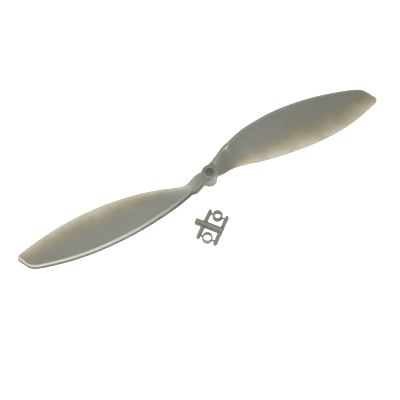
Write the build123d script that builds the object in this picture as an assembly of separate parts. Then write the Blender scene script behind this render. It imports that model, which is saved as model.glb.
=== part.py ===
from build123d import *
import math
import os

# Two-blade slow-flyer propeller with its set of two adapter rings, still held in the moulding frame.
#
# Frame: the origin is the centre of the recess mouth on the back face of the hub. +Z runs along the bore
# towards the front (the pull direction), and +X runs along blade_1. The propeller turns anticlockwise seen
# from the front, so the leading edge of blade_1 faces +Y. The table that everything lies on is Z = 0.

# ---------------------------------------------------------------- driving dimensions, millimetres
PITCH = 119.4
TWIST_LIMIT = 44.0
ROOT_TWIST = 20.0
ROOT_START_RADIUS = 6.0
ROOT_END_RADIUS = 24.0
ROOT_TAIL_THICKNESS = 3.0
TAIL_THICKNESS = 0.7
NOSE_LENGTH = 0.7
CAMBER_SHARE = 0.035

HUB_DIAMETER = 12.2
HUB_HEIGHT = 13.4
HUB_EDGE_ROUND = 0.4
BORE_DIAMETER = 6.1
BORE_LIP_CHAMFER = 0.25
COLLAR_DIAMETER = 7.4
RIM_INNER_DIAMETER = 9.2
GROOVE_DEPTH = 0.9
RECESS_DIAMETER = 8.0
RECESS_DEPTH = 5.1

RING_OUTER_DIAMETER = 7.9
RING_HEIGHT = 4.8
RING_EDGE_CHAMFER = 0.25
RING_BORES = {"5mm": 5.1, "6mm": 6.1}

# The moulding frame: one runner crossed by two bars, each bar making two arms.
FRAME_CENTRE = (-18.1, -36.7)
FRAME_TURN = -52.4
RUNNER_BASE_WIDTH = 5.0
RUNNER_TOP_WIDTH = 3.8
RUNNER_HEIGHT = 3.5
RUNNER_STUB = 6.9
BAR_SPACING = 13.5
ARM_REACH = {"5mm": 13.3, "6mm": 12.65}
BAR_BASE_WIDTH = 3.4
BAR_TOP_WIDTH = 2.4
BAR_HEIGHT = 3.0
RING_OFFSET = 9.7
GATE_WIDTH = 1.2
GATE_HEIGHT = 1.3
GATE_LIFT = 0.9
GATE_TO_RING_GAP = 0.08

# One row for each design station of a blade: the distance from the bore axis, how far the leading and the
# trailing edge lie from the blade's axis, the height of that axis above the table, and the thickness.
STATIONS = [
    (0.5, 6.1, -4.9, 9.7, 5.6),
    (10.0, 10.2, -5.1, 9.9, 5.2),
    (19.0, 16.3, -3.3, 6.9, 4.4),
    (28.0, 18.3, -5.3, 8.5, 3.8),
    (39.0, 20.1, -9.0, 10.5, 3.5),
    (51.0, 21.2, -11.8, 11.4, 3.3),
    (66.0, 22.1, -14.3, 12.0, 3.2),
    (84.0, 21.8, -16.1, 11.9, 3.1),
    (102.0, 20.1, -16.2, 11.4, 3.0),
    (119.0, 17.0, -14.8, 11.0, 2.8),
    (134.0, 13.0, -12.0, 10.9, 2.5),
    (144.0, 9.6, -9.4, 10.8, 2.2),
    (156.0, 5.6, -6.2, 10.8, 1.9),
]
SIDE_POINTS = 8
END_STEP = 0.001

# The tip is cut by a slanted line that rounds into the leading edge and, more tightly, into the trailing edge.
TIP_TRIM_START = 130.0
TIP_FRONT_START = 14.3
TIP_REAR_START = -13.1
TIP_FRONT_CORNER = (146.8, 8.7)
TIP_REAR_CORNER = (154.0, -6.6)
TIP_FRONT_ROUND = 10.5
TIP_REAR_ROUND = 3.9
TIP_TRIM_HALF_WIDTH = 40.0
TIP_TRIM_HEIGHT = 40.0


def root_share(radius):
    """How far a station is along the root: 0 at the hub, and 1 where the root has become the blade."""
    along = (radius - ROOT_START_RADIUS) / (ROOT_END_RADIUS - ROOT_START_RADIUS)
    return min(max(along, 0), 1)


def twist_at(radius):
    """The blade's angle to the disc: a constant-pitch helix, laid flatter near the hub."""
    helix = math.degrees(math.atan(PITCH / (2 * math.pi * radius)))
    root = ROOT_TWIST + (TWIST_LIMIT - ROOT_TWIST) * root_share(radius)
    return min(helix, root)


def half_thickness(share, chord, thickness, tail_thickness):
    """Half the section's thickness at a share of the chord back from the blunt, elliptical leading edge."""
    into_nose = min(share * chord / (thickness * NOSE_LENGTH), 1)
    wedge = thickness / 2 * (1 - share) + tail_thickness / 2 * share
    return wedge * math.sqrt(1 - (1 - into_nose) ** 2)


def blade_section(radius, leading, trailing, axis_height, thickness):
    """One airfoil across the blade, as a face in the plane X = radius."""
    twist = math.radians(twist_at(radius))
    chord = leading - trailing
    tail_thickness = ROOT_TAIL_THICKNESS + (TAIL_THICKNESS - ROOT_TAIL_THICKNESS) * root_share(radius)

    def place(step, side):
        share = step**2
        along = leading - share * chord
        arch = 4 * CAMBER_SHARE * chord * share * (1 - share)
        up = arch + side * half_thickness(share, chord, thickness, tail_thickness)
        y = along * math.cos(twist) - up * math.sin(twist)
        z = along * math.sin(twist) + up * math.cos(twist)
        return Vector(radius, y, axis_height + z)

    def surface(side):
        steps = [i / SIDE_POINTS for i in range(SIDE_POINTS + 1)]
        leaving = (place(END_STEP, side) - place(0, side)) / END_STEP
        arriving = (place(1, side) - place(1 - END_STEP, side)) / END_STEP
        points = [place(step, side) for step in steps]
        return Edge.make_spline(points, tangents=[leaving, arriving], parameters=steps, scale=False)

    top = surface(1)
    bottom = surface(-1)
    tail = Edge.make_line(top @ 1, bottom @ 1)
    return Face(Wire([top, tail, bottom]))


def tip_outline():
    """The blade's plan out to the slanted tip, as a solid that is tall enough to trim the blade."""
    outline = Polyline(
        (0, -TIP_TRIM_HALF_WIDTH),
        (TIP_TRIM_START, -TIP_TRIM_HALF_WIDTH),
        (TIP_TRIM_START, TIP_REAR_START),
        TIP_REAR_CORNER,
        TIP_FRONT_CORNER,
        (TIP_TRIM_START, TIP_FRONT_START),
        (TIP_TRIM_START, TIP_TRIM_HALF_WIDTH),
        (0, TIP_TRIM_HALF_WIDTH),
        close=True,
    )
    plan = make_face(outline)
    for corner, radius in ((TIP_FRONT_CORNER, TIP_FRONT_ROUND), (TIP_REAR_CORNER, TIP_REAR_ROUND)):
        vertex = plan.vertices().sort_by_distance(Vector(*corner, 0))[0]
        plan = fillet(vertex, radius)
    return extrude(plan, TIP_TRIM_HEIGHT)


def standing_cylinder(diameter, bottom, top):
    """A cylinder on the bore axis between two heights."""
    return Pos(0, 0, bottom) * Cylinder(diameter / 2, top - bottom, align=STANDING)


def build_blade():
    """The blade along +X, from the hub's wall to the slanted tip."""
    sections = [blade_section(*station) for station in STATIONS]
    blade = loft(sections) & tip_outline()
    return blade - standing_cylinder(HUB_DIAMETER, -HUB_HEIGHT, HUB_HEIGHT * 2)


def build_hub():
    """The hub, with a collar and a rim on its front face and the adapter ring's recess in its back face."""
    hub = standing_cylinder(HUB_DIAMETER, 0, HUB_HEIGHT)
    hub = fillet(hub.edges().filter_by(GeomType.CIRCLE), HUB_EDGE_ROUND)
    groove_floor = HUB_HEIGHT - GROOVE_DEPTH
    hub -= standing_cylinder(RIM_INNER_DIAMETER, groove_floor, HUB_HEIGHT * 2)
    hub += standing_cylinder(COLLAR_DIAMETER, RECESS_DEPTH, HUB_HEIGHT)
    hub -= standing_cylinder(BORE_DIAMETER, -HUB_HEIGHT, HUB_HEIGHT * 2)
    hub -= standing_cylinder(RECESS_DIAMETER, -HUB_HEIGHT, RECESS_DEPTH)
    lip = hub.edges().filter_by(GeomType.CIRCLE).group_by(Axis.Z)[-1].sort_by(SortBy.RADIUS)[0]
    return chamfer(lip, BORE_LIP_CHAMFER)


def build_ring(bore_diameter):
    """One adapter ring standing at the origin."""
    ring = standing_cylinder(RING_OUTER_DIAMETER, 0, RING_HEIGHT)
    ring = chamfer(ring.edges().filter_by(GeomType.CIRCLE), RING_EDGE_CHAMFER)
    return ring - standing_cylinder(bore_diameter, -RING_HEIGHT, RING_HEIGHT * 2)


def tapered_bar(start, end, base_width, top_width, height, rounded_end):
    """A frame bar along X with sloping sides, and with a round outer end if it has one."""
    base = Plane.XY * bar_plan(start, end, base_width, rounded_end)
    narrowing = (base_width - top_width) / 2
    top_end = end - narrowing if rounded_end else end
    top = Plane.XY.offset(height) * bar_plan(start, top_end, top_width, rounded_end)
    return loft([base, top], ruled=True)


def bar_plan(start, end, width, rounded_end):
    """The outline of a bar at one height."""
    half = width / 2
    straight_end = end - half if rounded_end else end
    if rounded_end:
        cap = ThreePointArc((straight_end, -half), (straight_end + half, 0), (straight_end, half))
    else:
        cap = Line((straight_end, -half), (straight_end, half))
    lower = Line((start, -half), (straight_end, -half))
    upper = Line((straight_end, half), (start, half))
    back = Line((start, half), (start, -half))
    return make_face([lower, cap, upper, back])


def build_runner():
    """The runner, from its cut end to the far side of the outer bar."""
    start = -BAR_SPACING / 2 - RUNNER_STUB
    end = BAR_SPACING / 2 + BAR_BASE_WIDTH / 2
    return tapered_bar(start, end, RUNNER_BASE_WIDTH, RUNNER_TOP_WIDTH, RUNNER_HEIGHT, False)


def build_arm(bar_x, side, reach, runner):
    """Half of a bar: it stands out from the runner on the side given as 1 or -1."""
    arm = tapered_bar(0, reach, BAR_BASE_WIDTH, BAR_TOP_WIDTH, BAR_HEIGHT, True)
    return Pos(bar_x, 0, 0) * Rot(0, 0, 90 * side) * arm - runner


def build_gate(bar_x, side, arm):
    """The thin web from an arm to the ring beside it, stopping just short of the ring."""
    inner = bar_x * (RING_OUTER_DIAMETER / 2 + GATE_TO_RING_GAP) / abs(bar_x)
    web = Pos((bar_x + inner) / 2, side * RING_OFFSET, GATE_LIFT + GATE_HEIGHT / 2)
    web = web * Box(abs(bar_x - inner), GATE_WIDTH, GATE_HEIGHT)
    return web - arm


def write_step(name, shape):
    """Write one node."""
    export_step(shape, f"parts/{name}.step")


STANDING = (Align.CENTER, Align.CENTER, Align.MIN)
os.makedirs("parts", exist_ok=True)

blade = build_blade()
write_step("blade_1", blade)
write_step("blade_2", Rot(0, 0, 180) * blade)
write_step("hub", build_hub())

frame_place = Pos(*FRAME_CENTRE, 0) * Rot(0, 0, FRAME_TURN)
runner = build_runner()
write_step("sprue_runner", frame_place * runner)
for ring_side, (ring_name, ring_bore) in zip((1, -1), RING_BORES.items()):
    ring = Pos(0, ring_side * RING_OFFSET, 0) * build_ring(ring_bore)
    write_step(f"adapter_ring_{ring_name}", frame_place * ring)
    for bar_name, bar_x in (("inner", -BAR_SPACING / 2), ("outer", BAR_SPACING / 2)):
        arm = build_arm(bar_x, ring_side, ARM_REACH[ring_name], runner)
        write_step(f"sprue_arm_{ring_name}_{bar_name}", frame_place * arm)
        gate = build_gate(bar_x, ring_side, arm)
        write_step(f"gate_{ring_name}_{bar_name}", frame_place * gate)
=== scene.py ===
import math
import bmesh
import bpy
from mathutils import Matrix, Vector


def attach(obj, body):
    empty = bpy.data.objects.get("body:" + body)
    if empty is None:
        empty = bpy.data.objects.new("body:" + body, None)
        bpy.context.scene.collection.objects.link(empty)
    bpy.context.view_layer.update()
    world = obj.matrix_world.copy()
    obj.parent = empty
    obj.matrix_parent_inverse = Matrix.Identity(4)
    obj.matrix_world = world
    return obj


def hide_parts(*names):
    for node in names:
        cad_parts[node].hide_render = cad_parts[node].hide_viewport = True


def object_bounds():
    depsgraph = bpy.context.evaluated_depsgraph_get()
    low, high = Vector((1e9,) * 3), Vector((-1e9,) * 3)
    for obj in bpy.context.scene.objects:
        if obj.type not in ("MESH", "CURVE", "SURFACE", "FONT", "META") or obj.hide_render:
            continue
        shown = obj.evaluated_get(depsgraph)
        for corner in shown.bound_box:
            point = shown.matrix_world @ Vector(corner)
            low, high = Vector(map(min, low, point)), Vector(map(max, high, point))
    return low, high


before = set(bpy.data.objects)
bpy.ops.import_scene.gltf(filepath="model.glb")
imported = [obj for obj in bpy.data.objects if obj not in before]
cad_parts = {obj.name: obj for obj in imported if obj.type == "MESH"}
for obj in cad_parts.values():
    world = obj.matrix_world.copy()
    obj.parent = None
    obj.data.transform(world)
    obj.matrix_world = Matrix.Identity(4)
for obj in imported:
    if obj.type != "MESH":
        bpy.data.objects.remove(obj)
cad_low, cad_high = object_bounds()

# ------------------------------------------------------------------------------------------ blades
# The two blades of the propeller: thin cambered airfoils that twist from steep at the hub to almost flat
# at the slanted tip. They are moulded in one shot with the hub, in glass-filled nylon, and their edges are
# thin enough to let light through.
MM = 0.001  # sizes below are in millimetres and angles in degrees

PITCH = 119.4
TWIST_LIMIT = 44.0
CAMBER_SHARE = 0.035  # of the chord
NOSE_LENGTH = 0.85  # in blade thicknesses
NOSE_BLUNTNESS = 2.4  # 2 is an ellipse, and more is blunter
TAIL = 0.6  # thickness of the trailing edge
THICKEST_TAIL_SHARE = 0.5  # of the blade's thickness

# From the root's start to its end, the twist and the tail go from these values to the free blade's.
ROOT_START = 6.0
ROOT_END = 24.0
ROOT_TWIST = 20.0
ROOT_TAIL = 3.0

# The fillet to the hub's wall, and the way the root stays under the rounded rim and rises away from it.
HUB_RADIUS = 6.1
HUB_TOP = 13.4
HUB_EDGE = 0.4
ROOT_FILLET = 1.5
EDGE_FILLET_SHARE = 0.5
RIM_CLEARANCE = 0.1
RIM_SLOPE = 2

# distance from the bore axis, leading edge, trailing edge, height of the blade's axis, thickness
STATIONS = [
    (0.5, 6.1, -4.9, 9.7, 5.6),
    (10.0, 10.2, -5.1, 9.9, 5.2),
    (19.0, 16.3, -3.3, 6.9, 4.4),
    (28.0, 18.3, -5.3, 8.5, 3.7),
    (39.0, 20.1, -9.0, 10.5, 3.4),
    (51.0, 21.2, -11.8, 11.4, 3.25),
    (66.0, 22.1, -14.3, 12.0, 3.2),
    (84.0, 21.8, -16.1, 11.9, 3.1),
    (102.0, 20.1, -16.2, 11.4, 3.0),
    (119.0, 17.0, -14.8, 11.0, 2.8),
    (134.0, 13.0, -12.0, 10.9, 2.5),
    (144.0, 9.6, -9.4, 10.8, 2.2),
    (156.0, 5.6, -6.2, 10.8, 1.9),
]

# The slanted tip in plan: a round corner off the leading edge, a straight cut, and a tighter round end.
TIP_RADIUS = 152.3
FRONT_ROUND = 10.4
FRONT_CENTRE = (139.2, 0.0)
FRONT_ROUND_START = 142.5
CUT_START = (148.62, 4.4)
CUT_END = (151.9, -2.4)
END_ROUND = 3.9
END_CENTRE = (148.4, -4.05)
REAR_ROUND_START = 149.4
SLOPE_REACH = 0.1
STEEPEST_LEAN = 4.0


def clamped(value):
    """A value held between 0 and 1."""
    return min(max(value, 0.0), 1.0)


def station_at(radius):
    """Leading edge, trailing edge, axis height and thickness at any radius, smooth through the stations."""
    last = len(STATIONS) - 1
    i = 0
    while i < last - 1 and radius > STATIONS[i + 1][0]:
        i += 1
    near, far = STATIONS[i], STATIONS[i + 1]
    span = far[0] - near[0]
    t = (radius - near[0]) / span
    before, after = STATIONS[max(i - 1, 0)], STATIONS[min(i + 2, last)]
    values = []
    for k in range(1, 5):
        slope_near = (far[k] - before[k]) / (far[0] - before[0]) * span
        slope_far = (after[k] - near[k]) / (after[0] - near[0]) * span
        values.append(
            near[k] * (2 * t**3 - 3 * t**2 + 1)
            + slope_near * (t**3 - 2 * t**2 + t)
            + far[k] * (3 * t**2 - 2 * t**3)
            + slope_far * (t**3 - t**2)
        )
    return values


def circle_height(radius, centre, round_radius):
    """How far a circle in plan stands above its centre at a radius from the bore."""
    return math.sqrt(max(round_radius**2 - (radius - centre[0]) ** 2, 0.0))


def front_limit(radius):
    """The leading side of the tip's outline."""
    if radius < CUT_START[0]:
        return FRONT_CENTRE[1] + circle_height(radius, FRONT_CENTRE, FRONT_ROUND)
    if radius < CUT_END[0]:
        t = (radius - CUT_START[0]) / (CUT_END[0] - CUT_START[0])
        return CUT_START[1] + (CUT_END[1] - CUT_START[1]) * t
    return END_CENTRE[1] + circle_height(radius, END_CENTRE, END_ROUND)


def blade_shape(radius):
    """Edges, axis height, thickness, twist and tail of the blade at a radius, with the tip's outline cut in.

    The last value is its lean: how much longer a way along the chord is than one square to the edge.
    """
    leading, trailing, height, thickness = station_at(radius)
    lean = 1.0
    if radius > FRONT_ROUND_START:
        leading = min(leading, front_limit(radius))
        rise = front_limit(radius + SLOPE_REACH) - front_limit(radius - SLOPE_REACH)
        slope = rise / (2 * SLOPE_REACH)
        lean = min(math.hypot(1.0, slope), STEEPEST_LEAN)
    if radius > REAR_ROUND_START:
        trailing = END_CENTRE[1] - circle_height(radius, END_CENTRE, END_ROUND)
    root_share = clamped((radius - ROOT_START) / (ROOT_END - ROOT_START))
    helix = math.degrees(math.atan(PITCH / (2 * math.pi * radius)))
    twist = math.radians(min(helix, ROOT_TWIST + (TWIST_LIMIT - ROOT_TWIST) * root_share))
    tail = min(ROOT_TAIL + (TAIL - ROOT_TAIL) * root_share, thickness * THICKEST_TAIL_SHARE)
    return leading, trailing, height, thickness, twist, tail, lean


def half_thickness(share, chord, thickness, tail, lean):
    """Half the section's thickness at a share of the chord: a blunt nose, an even taper and a round tail."""
    into_nose = min(share * chord / (thickness * NOSE_LENGTH * lean), 1.0)
    into_tail = min((1 - share) * chord / (tail / 2), 1.0)
    taper = thickness / 2 * (1 - share) + tail / 2 * share
    nose = (1 - (1 - into_nose) ** NOSE_BLUNTNESS) ** (1 / NOSE_BLUNTNESS)
    return taper * nose * math.sqrt(1 - (1 - into_tail) ** 2)


def fillet_growth(distance):
    """How far a concave fillet stands off the blade at a distance from the hub's wall."""
    gap = ROOT_FILLET - min(max(distance, 0.0), ROOT_FILLET)
    return ROOT_FILLET - math.sqrt(ROOT_FILLET**2 - gap**2)


def blade_point(radius, share, side):
    """A point on the blade's skin, in millimetres, with the fillet to the hub added near the root."""
    leading, trailing, height, thickness, twist, tail, lean = blade_shape(radius)
    flat = math.cos(twist)
    leading += fillet_growth(math.hypot(radius, leading * flat) - HUB_RADIUS) * EDGE_FILLET_SHARE
    trailing -= fillet_growth(math.hypot(radius, trailing * flat) - HUB_RADIUS) * EDGE_FILLET_SHARE
    chord = leading - trailing
    along = leading - share * chord
    growth = fillet_growth(math.hypot(radius, along * flat) - HUB_RADIUS)
    up = 4 * CAMBER_SHARE * chord * share * (1 - share)
    up += side * half_thickness(share, chord, thickness + 2 * growth, tail + 2 * growth, lean)
    y = along * flat - up * math.sin(twist)
    z = height + along * math.sin(twist) + up * flat
    if radius < ROOT_END:
        off_wall = max(math.hypot(radius, y) - HUB_RADIUS, 0.0)
        z = min(z, HUB_TOP - HUB_EDGE - RIM_CLEARANCE + off_wall * RIM_SLOPE)
    return radius, y, z


# Rows of points along the blade: close at the root, wider along the middle, and closing up to the tip.
CHORD_STEPS = 44
ROOT_ROWS, ROOT_ROWS_FROM, ROOT_ROW_STEP = 36, 0.5, 0.35
MIDDLE_ROWS, MIDDLE_ROWS_FROM, MIDDLE_ROW_STEP = 93, 13.1, 1.4
TIP_ROWS, TIP_ROWS_FROM = 34, 142.8
LAST_ROW_INSET = 0.0005
row_radii = [ROOT_ROWS_FROM + ROOT_ROW_STEP * i for i in range(ROOT_ROWS)]
row_radii += [MIDDLE_ROWS_FROM + MIDDLE_ROW_STEP * i for i in range(MIDDLE_ROWS)]
row_radii += [
    TIP_RADIUS - (TIP_RADIUS - TIP_ROWS_FROM) * (1 - i / TIP_ROWS) ** 2 for i in range(TIP_ROWS)
]
row_radii.append(TIP_RADIUS - LAST_ROW_INSET)


def finished_object(name, mesh):
    """Turns a bmesh into an object in the scene."""
    data = bpy.data.meshes.new(name)
    mesh.to_mesh(data)
    mesh.free()
    made = bpy.data.objects.new(name, data)
    bpy.context.scene.collection.objects.link(made)
    return made


def blade_mesh(name, turn):
    """One closed blade, as rings of points round its section; turn is 1 for +X and -1 for -X."""
    mesh = bmesh.new()
    shares = [(1 - math.cos(math.pi * i / CHORD_STEPS)) / 2 for i in range(CHORD_STEPS + 1)]
    around = [(share, 1) for share in shares] + [(share, -1) for share in reversed(shares[1:-1])]
    rings = []
    for radius in row_radii:
        points = [blade_point(radius, share, side) for share, side in around]
        rings.append([mesh.verts.new((x * turn * MM, y * turn * MM, z * MM)) for x, y, z in points])
    for inner, outer in zip(rings, rings[1:]):
        for i in range(len(inner)):
            j = (i + 1) % len(inner)
            mesh.faces.new((inner[i], inner[j], outer[j], outer[i]))
    mesh.faces.new(rings[0])
    mesh.faces.new(reversed(rings[-1]))
    bmesh.ops.recalc_face_normals(mesh, faces=mesh.faces)
    return finished_object(name, mesh)


blades = [blade_mesh("blade_shell_1", 1), blade_mesh("blade_shell_2", -1)]

# ------------------------------------------------------------------ hub, and the propeller's nylon
# The hub of the same moulding: a plain short post with a rounded rim, a thin collar round the bore with a
# shallow moat between them, and a wider recess behind for an adapter ring. Core pins in the mould leave
# its holes, so hub and blades are one piece of nylon with no seam.
BORE_RADIUS = 3.05
BORE_LIP = 0.6
COLLAR_RADIUS = 3.75
RIM_INNER_RADIUS = 4.6
MOAT_FLOOR = 12.5
MOAT_ROUND = 0.25
RECESS_RADIUS = 4.0
RECESS_DEPTH = 5.1
RECESS_LEAD_IN = 0.15
CUTTER_OVERSHOOT = 2.0
LATHE_STEPS = 96
CORNER_STEPS = 6
MERGE_DISTANCE = 0.0001  # points of a profile on the axis become one


def corner_arc(centre, radius, start, end):
    """Points of a round corner in a turned profile, between two angles in degrees."""
    angles = [math.radians(start + (end - start) * i / CORNER_STEPS) for i in range(CORNER_STEPS + 1)]
    return [(centre[0] + radius * math.cos(a), centre[1] + radius * math.sin(a)) for a in angles]


def turned(name, profile, centre=(0.0, 0.0)):
    """A closed profile of (radius, height) in millimetres, spun about a vertical axis."""
    mesh = bmesh.new()
    columns = []
    for step in range(LATHE_STEPS):
        angle = 2 * math.pi * step / LATHE_STEPS
        column = []
        for radius, height in profile:
            x = centre[0] + radius * math.cos(angle)
            y = centre[1] + radius * math.sin(angle)
            column.append(mesh.verts.new((x * MM, y * MM, height * MM)))
        columns.append(column)
    for step in range(LATHE_STEPS):
        here, there = columns[step], columns[(step + 1) % LATHE_STEPS]
        for i in range(len(profile)):
            j = (i + 1) % len(profile)
            mesh.faces.new((here[i], there[i], there[j], here[j]))
    bmesh.ops.remove_doubles(mesh, verts=mesh.verts, dist=MERGE_DISTANCE * MM)
    bmesh.ops.recalc_face_normals(mesh, faces=mesh.faces)
    return finished_object(name, mesh)


def apply_modifiers(made):
    """Bakes an object's modifiers into its mesh."""
    depsgraph = bpy.context.evaluated_depsgraph_get()
    data = bpy.data.meshes.new_from_object(made.evaluated_get(depsgraph))
    made.modifiers.clear()
    made.data = data
    return made


def combine(base, other, operation):
    """Joins or cuts base with another closed piece, which is then removed."""
    step = base.modifiers.new("combine", "BOOLEAN")
    step.object = other
    step.operation = operation
    step.solver = "EXACT"
    apply_modifiers(base)
    bpy.data.objects.remove(other)
    return base


edge_centre = HUB_RADIUS - HUB_EDGE
post_profile = [(0.0, 0.0)]
post_profile += corner_arc((edge_centre, HUB_EDGE), HUB_EDGE, -90, 0)
post_profile += corner_arc((edge_centre, HUB_TOP - HUB_EDGE), HUB_EDGE, 0, 90)
post_profile.append((0.0, HUB_TOP))
propeller = turned("propeller", post_profile)
for blade in blades:
    combine(propeller, blade, "UNION")

moat_profile = corner_arc((COLLAR_RADIUS + MOAT_ROUND, MOAT_FLOOR + MOAT_ROUND), MOAT_ROUND, 180, 270)
moat_profile += corner_arc((RIM_INNER_RADIUS - MOAT_ROUND, MOAT_FLOOR + MOAT_ROUND), MOAT_ROUND, 270, 360)
moat_profile += corner_arc((RIM_INNER_RADIUS + MOAT_ROUND, HUB_TOP - MOAT_ROUND), MOAT_ROUND, 180, 90)
moat_profile.append((RIM_INNER_RADIUS + MOAT_ROUND, HUB_TOP + CUTTER_OVERSHOOT))
moat_profile.append((COLLAR_RADIUS, HUB_TOP + CUTTER_OVERSHOOT))
combine(propeller, turned("moat_cutter", moat_profile), "DIFFERENCE")

bore_profile = [
    (0.0, -CUTTER_OVERSHOOT),
    (RECESS_RADIUS + RECESS_LEAD_IN, -CUTTER_OVERSHOOT),
    (RECESS_RADIUS + RECESS_LEAD_IN, 0.0),
    (RECESS_RADIUS, RECESS_LEAD_IN),
    (RECESS_RADIUS, RECESS_DEPTH),
    (BORE_RADIUS, RECESS_DEPTH),
]
bore_profile += corner_arc((BORE_RADIUS + BORE_LIP, HUB_TOP - BORE_LIP), BORE_LIP, 180, 90)
bore_profile.append((BORE_RADIUS + BORE_LIP, HUB_TOP + CUTTER_OVERSHOOT))
bore_profile.append((0.0, HUB_TOP + CUTTER_OVERSHOOT))
combine(propeller, turned("bore_cutter", bore_profile), "DIFFERENCE")

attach(propeller, "propeller")
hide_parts("hub", "blade_1", "blade_2")


def smooth_faces(made, sharp_degrees):
    """Smooth shading, with the edges kept crisp where two faces meet at more than an angle."""
    made.data.shade_smooth()
    made.data.set_sharp_from_angle(angle=math.radians(sharp_degrees))


PROPELLER_CREASE = 35
smooth_faces(propeller, PROPELLER_CREASE)

# Where the wall is this thick or more, no light comes through it.
THICK_WALL = 3.0

# The lip is painted shade on the underside of the nose: full up to one depth from the edge, gone at the
# other, and only below a share of the half wall. It comes in along the blade between two radii.
LIP_FULL_DEPTH = 1.5
LIP_DEPTH = 3.0
LIP_TOP = 0.8
LIP_TOP_FADE = 0.6
LIP_FROM_RADIUS = 10.0
LIP_FULL_RADIUS = 30.0

# The bead is a painted highlight along the crest of the nose, where the surface is also a little glossier. It
# brightens towards the tip, and is stronger on the -X blade.
BEAD_FROM_EDGE = 1.7
BEAD_FADE = 1.1
BEAD_LOW_FADE = 0.5
BEAD_FULL_RADIUS = 125.0
BEAD_HIGHLIGHT_SHARE = {1: 0.2, -1: 1.0}

# These keep the skin's values defined where the tip narrows to nothing.
NARROWEST_CHORD = 0.2
SKIN_INSET = 0.01


def moulding_at(x, y, z):
    """The wall's thickness at a point of the skin, and how far the point is into the painted shade under the
    nose and the painted highlight on its crest.
    """
    turn = 1 if x >= 0 else -1
    radius = min(max(x * turn, ROOT_ROWS_FROM), TIP_RADIUS - SKIN_INSET)
    leading, trailing, height, thickness, twist, tail, lean = blade_shape(radius)
    chord = max(leading - trailing, NARROWEST_CHORD)
    along = y * turn * math.cos(twist) + (z - height) * math.sin(twist)
    up = (z - height) * math.cos(twist) - y * turn * math.sin(twist)
    from_nose = max(leading - along, 0.0)
    share = min(from_nose / chord, 1.0)
    wall = thickness * (1 - share) + tail * share
    if math.hypot(x, y) < HUB_RADIUS + ROOT_FILLET:
        wall = max(wall, THICK_WALL)
    above = (up - 4 * CAMBER_SHARE * chord * share * (1 - share)) / (wall / 2)
    from_edge = from_nose / lean
    lip = clamped((LIP_DEPTH - from_edge) / (LIP_DEPTH - LIP_FULL_DEPTH))
    lip *= clamped((LIP_TOP - above) / LIP_TOP_FADE)
    lip *= clamped((x * turn - LIP_FROM_RADIUS) / (LIP_FULL_RADIUS - LIP_FROM_RADIUS))
    bead = clamped(1 - abs(from_edge - BEAD_FROM_EDGE) / BEAD_FADE) * clamped(above / BEAD_LOW_FADE)
    bead *= clamped(x * turn / BEAD_FULL_RADIUS) * BEAD_HIGHLIGHT_SHARE[turn]
    off_hub = clamped((math.hypot(x, y) - HUB_RADIUS) / ROOT_FILLET)
    return wall, lip * off_hub, bead * off_hub


skin_values = [
    propeller.data.attributes.new(kind, "FLOAT", "POINT") for kind in ("wall_mm", "lower_lip_shade", "nose_highlight")
]
for i, vertex in enumerate(propeller.data.vertices):
    for values, value in zip(skin_values, moulding_at(*(vertex.co / MM))):
        values.data[i].value = value

# Glass-filled nylon, moulded: long-fibre nylon straight from a satin mould. To the eye it is a flat
# grey-olive where it is thick and pale cream where light comes through the thin edges, a paleness painted
# into the colour by wall thickness besides the real scattering, with faint flow clouds, a fine fibre grain,
# painted shade under the nose and a painted highlight along its crest.
NYLON_IOR = 1.53
FLOW_CLOUD_MM = 14.0
FLOW_CLOUD_SHIFT = 0.05
FIBRE_GRAIN_MM = 0.55  # real fibres are far finer, and are drawn this coarse to show
FIBRE_FLECK = 0.06
GRAIN_RIPPLE_MM = 0.03
SATIN_ROUGHNESS = (0.36, 0.44)
BEAD_ROUGHNESS = 0.28
LIP_SHADE_STRENGTH = 0.8
BEAD_HIGHLIGHT_STRENGTH = 0.85
LIP_SHADE_COLOUR = "#3a3a34"
BEAD_HIGHLIGHT_COLOUR = "#e0dac8"
GRAIN_STRENGTH = 0.25
SCATTER_WEIGHT = 0.7
SCATTER_MM = 1.0
SCATTER_BY_COLOUR = (1.0, 0.95, 0.8)
CLOUD_NOISE = {"Detail": 3.0, "Roughness": 0.55}
GRAIN_NOISE = {"Detail": 2.0, "Roughness": 0.6}
NOISE_SPAN = {"From Min": 0.3, "From Max": 0.7}  # most of a noise pattern's values lie in this span
MIX_SHARE, MIX_UNDER, MIX_OVER, MIX_RESULT = 0, 6, 7, 2  # a colour Mix node's sockets


def linear(hex_colour):
    """An sRGB hex colour as linear RGBA."""
    parts = [int(hex_colour[i : i + 2], 16) / 255 for i in (1, 3, 5)]
    return [p / 12.92 if p <= 0.04045 else ((p + 0.055) / 1.055) ** 2.4 for p in parts] + [1.0]


def add_node(tree, kind, inputs=None, stops=(), **settings):
    """Adds one node; each input is a value or the output to link it to, and stops fill a colour ramp."""
    node = tree.nodes.new(kind)
    for key, value in settings.items():
        setattr(node, key, value)
    for key, value in (inputs or {}).items():
        if isinstance(value, bpy.types.NodeSocket):
            tree.links.new(value, node.inputs[key])
        else:
            node.inputs[key].default_value = value
    for i, (position, hex_colour) in enumerate(stops):
        if i >= len(node.color_ramp.elements):
            node.color_ramp.elements.new(position)
        node.color_ramp.elements[i].position = position
        node.color_ramp.elements[i].color = linear(hex_colour)
    return node


def new_material(name):
    """An empty node material, its tree, its shader and the point's place on the object in metres."""
    material = bpy.data.materials.new(name)
    material.use_nodes = True
    tree = material.node_tree
    tree.nodes.clear()
    shader = add_node(tree, "ShaderNodeBsdfPrincipled")
    add_node(tree, "ShaderNodeOutputMaterial", {"Surface": shader.outputs["BSDF"]})
    place = add_node(tree, "ShaderNodeTexCoord").outputs["Object"]
    return material, tree, shader, place


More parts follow.
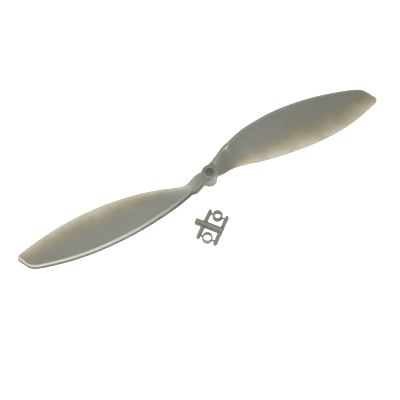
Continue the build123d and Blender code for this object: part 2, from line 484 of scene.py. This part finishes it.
nylon, tree, shader, place = new_material("glass_filled_nylon_satin_moulded")
wall = add_node(tree, "ShaderNodeAttribute", attribute_name="wall_mm").outputs["Fac"]
wall_share = add_node(tree, "ShaderNodeMapRange", {"Value": wall, "From Max": THICK_WALL})
clouds = add_node(tree, "ShaderNodeTexNoise", {"Vector": place, "Scale": 1 / (FLOW_CLOUD_MM * MM),
                                               **CLOUD_NOISE})
cloud_shift = add_node(tree, "ShaderNodeMapRange", {"Value": clouds.outputs["Fac"], **NOISE_SPAN,
                                                    "To Min": -FLOW_CLOUD_SHIFT, "To Max": FLOW_CLOUD_SHIFT})
depth = add_node(tree, "ShaderNodeMath", {0: wall_share.outputs["Result"], 1: cloud_shift.outputs["Result"]},
                 operation="ADD")
# The tone pales where the wall thins: painted light coming through the thin edges, on top of the real
# subsurface scattering set below.
tone = add_node(tree, "ShaderNodeValToRGB", {"Fac": depth.outputs["Value"]}, stops=[
    (0.21, "#b0ac9b"),
    (0.26, "#a6a28e"),
    (0.31, "#9b9580"),
    (0.37, "#918973"),
    (0.45, "#847b68"),
    (0.54, "#787464"),
    (0.70, "#717167"),
])
grain = add_node(tree, "ShaderNodeTexNoise", {"Vector": place, "Scale": 1 / (FIBRE_GRAIN_MM * MM),
                                              **GRAIN_NOISE})
fleck = add_node(tree, "ShaderNodeMapRange", {"Value": grain.outputs["Fac"], **NOISE_SPAN,
                                              "To Min": 1 - FIBRE_FLECK, "To Max": 1 + FIBRE_FLECK})
skin = add_node(tree, "ShaderNodeMix", {MIX_SHARE: 1.0, MIX_UNDER: tone.outputs["Color"],
                                        MIX_OVER: fleck.outputs["Result"]},
                data_type="RGBA", blend_type="MULTIPLY")
# Painted highlight: the crest of the nose is lightened in the colour, more on the -X blade.
bead = add_node(tree, "ShaderNodeAttribute", attribute_name="nose_highlight").outputs["Fac"]
bead_highlight_share = add_node(tree, "ShaderNodeMath", {0: bead, 1: BEAD_HIGHLIGHT_STRENGTH}, operation="MULTIPLY")
highlighted = add_node(tree, "ShaderNodeMix", {MIX_SHARE: bead_highlight_share.outputs["Value"],
                                          MIX_UNDER: skin.outputs[MIX_RESULT],
                                          MIX_OVER: linear(BEAD_HIGHLIGHT_COLOUR)}, data_type="RGBA")
# Painted shade: the underside of the nose is darkened in the colour.
lip = add_node(tree, "ShaderNodeAttribute", attribute_name="lower_lip_shade").outputs["Fac"]
lip_shade_share = add_node(tree, "ShaderNodeMath", {0: lip, 1: LIP_SHADE_STRENGTH}, operation="MULTIPLY")
lip_shaded = add_node(tree, "ShaderNodeMix", {MIX_SHARE: lip_shade_share.outputs["Value"],
                                         MIX_UNDER: highlighted.outputs[MIX_RESULT],
                                         MIX_OVER: linear(LIP_SHADE_COLOUR)}, data_type="RGBA")
tree.links.new(lip_shaded.outputs[MIX_RESULT], shader.inputs["Base Color"])
cloud_gloss = add_node(tree, "ShaderNodeMapRange", {"Value": clouds.outputs["Fac"], **NOISE_SPAN,
                                                    "To Min": SATIN_ROUGHNESS[0],
                                                    "To Max": SATIN_ROUGHNESS[1]})
gloss = add_node(tree, "ShaderNodeMapRange", {"Value": bead, "To Min": cloud_gloss.outputs["Result"],
                                              "To Max": BEAD_ROUGHNESS})
tree.links.new(gloss.outputs["Result"], shader.inputs["Roughness"])
ripple = add_node(tree, "ShaderNodeBump", {"Height": grain.outputs["Fac"], "Strength": GRAIN_STRENGTH,
                                           "Distance": GRAIN_RIPPLE_MM * MM})
tree.links.new(ripple.outputs["Normal"], shader.inputs["Normal"])
shader.inputs["IOR"].default_value = NYLON_IOR
shader.inputs["Subsurface Weight"].default_value = SCATTER_WEIGHT
shader.inputs["Subsurface Radius"].default_value = SCATTER_BY_COLOUR
shader.inputs["Subsurface Scale"].default_value = SCATTER_MM * MM
propeller.data.materials.clear()
propeller.data.materials.append(nylon)

# ------------------------------------------------------------- adapter frame, and its darker nylon
# The frame that the adapter rings are moulded on: a wide runner crossed by two slimmer bars with round
# ends, all with the sloping sides that let them leave the mould, and four thin gates out to the rings.
# It is nylon of its own moulding, and lies loose on the table.
FRAME_CENTRE = (-18.1, -36.7)
FRAME_TURN = -52.4
RUNNER_BASE = 5.0
RUNNER_TOP = 3.8
RUNNER_HEIGHT = 3.5
RUNNER_STUB = 6.9
BAR_SPACING = 13.5
BAR_REACH = {1: 13.28, -1: 12.63}  # from the runner's middle, past the 5 mm ring and the 6 mm ring
BAR_BASE = 3.4
BAR_TOP = 2.4
BAR_HEIGHT = 3.0
END_STEPS = 10
FRAME_EDGE = 0.6
FRAME_EDGE_STEPS = 4
FRAME_CREASE = 32
RING_OFFSET = 9.7
RING_RADIUS = 3.95
GATE_WIDTH = 1.2
GATE_LOW = 0.9
GATE_HIGH = 2.2
GATE_ROOT_FROM_MIDDLE = 0.6  # the bar's middle line
GATE_GAP = 0.03
GATE_TIP_SHARE = 0.7
GATE_TIP_RISE = 0.15
GATE_TIP_DROP = 0.2


def on_frame(x, y):
    """A place on the adapter frame, in the shared frame."""
    c, s = math.cos(math.radians(FRAME_TURN)), math.sin(math.radians(FRAME_TURN))
    return FRAME_CENTRE[0] + c * x - s * y, FRAME_CENTRE[1] + s * x + c * y


def bar_outline(start, end, half, round_ends):
    """A bar's plan along X, square or with half-round ends."""
    if not round_ends:
        return [(start, -half), (end, -half), (end, half), (start, half)]
    angles = [math.pi * i / END_STEPS - math.pi / 2 for i in range(END_STEPS + 1)]
    outline = [(end - half + half * math.cos(a), half * math.sin(a)) for a in angles]
    return outline + [(start + half - half * math.cos(a), -half * math.sin(a)) for a in angles]


def sloped_bar(name, start, end, base, top, height, round_ends, across_at=None):
    """A closed bar that narrows upwards; across_at turns it to lie across the runner at that X."""
    inset = (base - top) / 2
    mesh = bmesh.new()
    levels = []
    for level, width, pull in ((0.0, base, 0.0), (height, top, inset if round_ends else 0.0)):
        ring = []
        for x, y in bar_outline(start + pull, end - pull, width / 2, round_ends):
            if across_at is not None:
                x, y = across_at - y, x
            px, py = on_frame(x, y)
            ring.append(mesh.verts.new((px * MM, py * MM, level * MM)))
        levels.append(ring)
    lower, upper = levels
    for i in range(len(lower)):
        j = (i + 1) % len(lower)
        mesh.faces.new((lower[i], lower[j], upper[j], upper[i]))
    mesh.faces.new(reversed(lower))
    mesh.faces.new(upper)
    bmesh.ops.recalc_face_normals(mesh, faces=mesh.faces)
    return finished_object(name, mesh)


runner_start = -BAR_SPACING / 2 - RUNNER_STUB
runner_end = BAR_SPACING / 2 + BAR_BASE / 2
adapter_frame = sloped_bar("adapter_frame", runner_start, runner_end, RUNNER_BASE, RUNNER_TOP,
                           RUNNER_HEIGHT, False)
for bar_x in (-BAR_SPACING / 2, BAR_SPACING / 2):
    bar = sloped_bar("bar", -BAR_REACH[-1], BAR_REACH[1], BAR_BASE, BAR_TOP, BAR_HEIGHT, True, bar_x)
    combine(adapter_frame, bar, "UNION")

soften = adapter_frame.modifiers.new("soften", "BEVEL")
soften.width = FRAME_EDGE * MM
soften.segments = FRAME_EDGE_STEPS
soften.limit_method = "WEIGHT"
edge_weights = adapter_frame.data.attributes.new("bevel_weight_edge", "FLOAT", "EDGE")
for edge in adapter_frame.data.edges:
    ends = [adapter_frame.data.vertices[v].co.z for v in edge.vertices]
    if min(ends) > FRAME_EDGE * MM:
        edge_weights.data[edge.index].value = 1.0
apply_modifiers(adapter_frame)


def gate(side, bar_side):
    """A thin web from a bar to the ring beside it, thinning towards the ring where it is to break."""
    mesh = bmesh.new()
    root_x = bar_side * (BAR_SPACING / 2 - GATE_ROOT_FROM_MIDDLE)
    tip_x = bar_side * (RING_RADIUS + GATE_GAP)
    tip_half = GATE_WIDTH / 2 * GATE_TIP_SHARE
    corners = []
    for x, half_width, low, high in ((root_x, GATE_WIDTH / 2, GATE_LOW, GATE_HIGH),
                                     (tip_x, tip_half, GATE_LOW + GATE_TIP_RISE, GATE_HIGH - GATE_TIP_DROP)):
        for y, z in ((-half_width, low), (half_width, low), (half_width, high), (-half_width, high)):
            px, py = on_frame(x, side * RING_OFFSET + y)
            corners.append(mesh.verts.new((px * MM, py * MM, z * MM)))
    for i in range(4):
        j = (i + 1) % 4
        mesh.faces.new((corners[i], corners[j], corners[4 + j], corners[4 + i]))
    mesh.faces.new(corners[3::-1])
    mesh.faces.new(corners[4:])
    bmesh.ops.recalc_face_normals(mesh, faces=mesh.faces)
    return finished_object("gate", mesh)


for side in (1, -1):
    for bar_side in (1, -1):
        combine(adapter_frame, gate(side, bar_side), "UNION")

arms = [f"sprue_arm_{ring}_{bar}" for ring in ("5mm", "6mm") for bar in ("inner", "outer")]
gates = [f"gate_{ring}_{bar}" for ring in ("5mm", "6mm") for bar in ("inner", "outer")]
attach(adapter_frame, "adapter_frame")
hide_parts("sprue_runner", *arms, *gates)
smooth_faces(adapter_frame, FRAME_CREASE)

# Adapter nylon, moulded: a shade darker and greener than the propeller's, because every wall of it is
# thick and no light comes through. To the eye it has the same satin skin and a little cloudiness.
ADAPTER_GRAIN_MM = 0.6  # drawn coarser than real, to show
ADAPTER_GRAIN_STRENGTH = 0.3
ADAPTER_FLECK = 0.08
ADAPTER_CLOUD_MM = 5.0
ADAPTER_ROUGHNESS = (0.36, 0.5)

adapter_nylon, tree, shader, place = new_material("adapter_nylon_satin_moulded")
clouds = add_node(tree, "ShaderNodeTexNoise", {"Vector": place, "Scale": 1 / (ADAPTER_CLOUD_MM * MM),
                                               **CLOUD_NOISE})
tone = add_node(tree, "ShaderNodeValToRGB", {"Fac": clouds.outputs["Fac"]}, stops=[
    (0.3, "#56574b"),
    (0.5, "#606154"),
    (0.7, "#6a6a5c"),
])
grain = add_node(tree, "ShaderNodeTexNoise", {"Vector": place, "Scale": 1 / (ADAPTER_GRAIN_MM * MM),
                                              **GRAIN_NOISE})
fleck = add_node(tree, "ShaderNodeMapRange", {"Value": grain.outputs["Fac"], **NOISE_SPAN,
                                              "To Min": 1 - ADAPTER_FLECK, "To Max": 1 + ADAPTER_FLECK})
skin = add_node(tree, "ShaderNodeMix", {MIX_SHARE: 1.0, MIX_UNDER: tone.outputs["Color"],
                                        MIX_OVER: fleck.outputs["Result"]},
                data_type="RGBA", blend_type="MULTIPLY")
tree.links.new(skin.outputs[MIX_RESULT], shader.inputs["Base Color"])
gloss = add_node(tree, "ShaderNodeMapRange", {"Value": clouds.outputs["Fac"], **NOISE_SPAN,
                                              "To Min": ADAPTER_ROUGHNESS[0],
                                              "To Max": ADAPTER_ROUGHNESS[1]})
tree.links.new(gloss.outputs["Result"], shader.inputs["Roughness"])
ripple = add_node(tree, "ShaderNodeBump", {"Height": grain.outputs["Fac"], "Strength": ADAPTER_GRAIN_STRENGTH,
                                           "Distance": GRAIN_RIPPLE_MM * MM})
tree.links.new(ripple.outputs["Normal"], shader.inputs["Normal"])
shader.inputs["IOR"].default_value = NYLON_IOR
adapter_frame.data.materials.clear()
adapter_frame.data.materials.append(adapter_nylon)

# ---------------------------------------------------------------------------------- adapter rings
# Two bushes that step the hub's recess down to the motor shaft, one thick-walled and one thin-walled.
# They are the frame's nylon, moulded on it, twisted off their gates when needed, and pushed into the hub.
RING_HEIGHT = 4.8
RING_EDGE = 0.3
RING_DRAFT = 0.05
RING_CREASE = 50
RINGS = [("5mm", 1, 2.55), ("6mm", -1, 3.05)]  # name, side of the runner, bore radius
for ring_name, side, bore in RINGS:
    outer, inner = RING_RADIUS - RING_EDGE, bore + RING_EDGE
    profile = corner_arc((outer, RING_EDGE), RING_EDGE, -90, 0)
    profile += corner_arc((outer - RING_DRAFT, RING_HEIGHT - RING_EDGE), RING_EDGE, 0, 90)
    profile += corner_arc((inner, RING_HEIGHT - RING_EDGE), RING_EDGE, 90, 180)
    profile += corner_arc((inner, RING_EDGE), RING_EDGE, 180, 270)
    ring = turned(f"adapter_ring_{ring_name}_visual", profile, on_frame(0, side * RING_OFFSET))
    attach(ring, f"ring_{ring_name}")
    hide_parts(f"adapter_ring_{ring_name}")
    smooth_faces(ring, RING_CREASE)
    ring.data.materials.clear()
    ring.data.materials.append(adapter_nylon)

# ------------------------------------------------------------------------------------------ table
# The plain white laminate top that both mouldings lie on. To the eye it is evenly bright and almost
# without shadow, as a table lit from all round is, with a very faint mottle in the laminate.
TABLE_SIZE = 6.0  # metres
TABLE_DROP = 0.0001  # metres, so that its face and the pieces' undersides don't coincide
TABLE_MOTTLE_MM = 25.0
TABLE_ROUGHNESS = 0.9
TABLE_GLOW = 0.7
mesh = bmesh.new()
bmesh.ops.create_grid(mesh, x_segments=1, y_segments=1, size=TABLE_SIZE / 2)
table = finished_object("table", mesh)
table.location.z = cad_low.z - TABLE_DROP
white_laminate, tree, shader, place = new_material("white_laminate_table")
mottle = add_node(tree, "ShaderNodeTexNoise", {"Vector": place, "Scale": 1 / (TABLE_MOTTLE_MM * MM),
                                               "Detail": 2.0})
tone = add_node(tree, "ShaderNodeValToRGB", {"Fac": mottle.outputs["Fac"]},
                stops=[(0.3, "#f6f6f5"), (0.7, "#fafaf9")])
tree.links.new(tone.outputs["Color"], shader.inputs["Base Color"])
shader.inputs["Roughness"].default_value = TABLE_ROUGHNESS
shader.inputs["Emission Color"].default_value = linear("#ffffff")
shader.inputs["Emission Strength"].default_value = TABLE_GLOW
table.data.materials.append(white_laminate)

# ---------------------------------------------------------------------------------- room and camera
# A dim white room with three soft lights: a broad one behind that gives the far blade its sheen, a small
# one on the camera's own line that hides its shadows under the blades, and a narrow strip overhead that
# draws the bright line along the near leading edge.
ROOM_STRENGTH = 0.2
room = bpy.data.worlds.new("bright_room")
room.use_nodes = True
room.node_tree.nodes["Background"].inputs["Color"].default_value = linear("#ffffff")
room.node_tree.nodes["Background"].inputs["Strength"].default_value = ROOM_STRENGTH
bpy.context.scene.world = room

VIEW_AZIMUTH = -29.067
VIEW_ELEVATION = 61.905
VIEW_DISTANCE = 0.4572  # metres, as the target and the lights' distances and sizes are
VIEW_TARGET = Vector((-0.0174, -0.0173, 0.0110))
VIEW_SHIFT = 0.00125  # of the image's width
VIEW_LENS = 55.9
VIEW_SENSOR = 36.0
NEAREST, FARTHEST = 0.01, 20.0

# name, azimuth, elevation, distance, width, depth, watts
LIGHTS = [
    ("back_softbox", 165.0, 43.0, 1.6, 1.2, 1.2, 7.0),
    ("camera_light", VIEW_AZIMUTH, VIEW_ELEVATION, 0.6, 0.12, 0.12, 3.0),
    ("overhead_strip", 180.0, 83.0, 0.5, 0.26, 0.05, 1.1),
]


def from_target(azimuth, elevation, distance):
    """A place seen from the view's target at an azimuth and elevation; azimuth 0 looks along +Y."""
    turn, rise = math.radians(azimuth), math.radians(elevation)
    back = Vector((math.sin(turn) * math.cos(rise), -math.cos(turn) * math.cos(rise), math.sin(rise)))
    return VIEW_TARGET + back * distance


def aim(thing):
    """Points a light or the camera at the view's target."""
    thing.rotation_mode = "QUATERNION"
    thing.rotation_quaternion = (VIEW_TARGET - thing.location).to_track_quat("-Z", "Y")


for name, azimuth, elevation, distance, width, depth, watts in LIGHTS:
    lamp = bpy.data.lights.new(name, "AREA")
    lamp.shape = "RECTANGLE"
    lamp.size = width
    lamp.size_y = depth
    lamp.energy = watts
    light = bpy.data.objects.new(name, lamp)
    light.location = from_target(azimuth, elevation, distance)
    aim(light)
    bpy.context.scene.collection.objects.link(light)

camera_data = bpy.data.cameras.new("camera")
camera_data.lens = VIEW_LENS
camera_data.sensor_width = VIEW_SENSOR
camera_data.shift_x = -VIEW_SHIFT
camera_data.shift_y = VIEW_SHIFT
camera_data.clip_start = NEAREST
camera_data.clip_end = FARTHEST
camera = bpy.data.objects.new("camera", camera_data)
camera.location = from_target(VIEW_AZIMUTH, VIEW_ELEVATION, VIEW_DISTANCE)
aim(camera)
bpy.context.scene.collection.objects.link(camera)
bpy.context.scene.camera = camera
bpy.context.scene.view_settings.view_transform = "Standard"
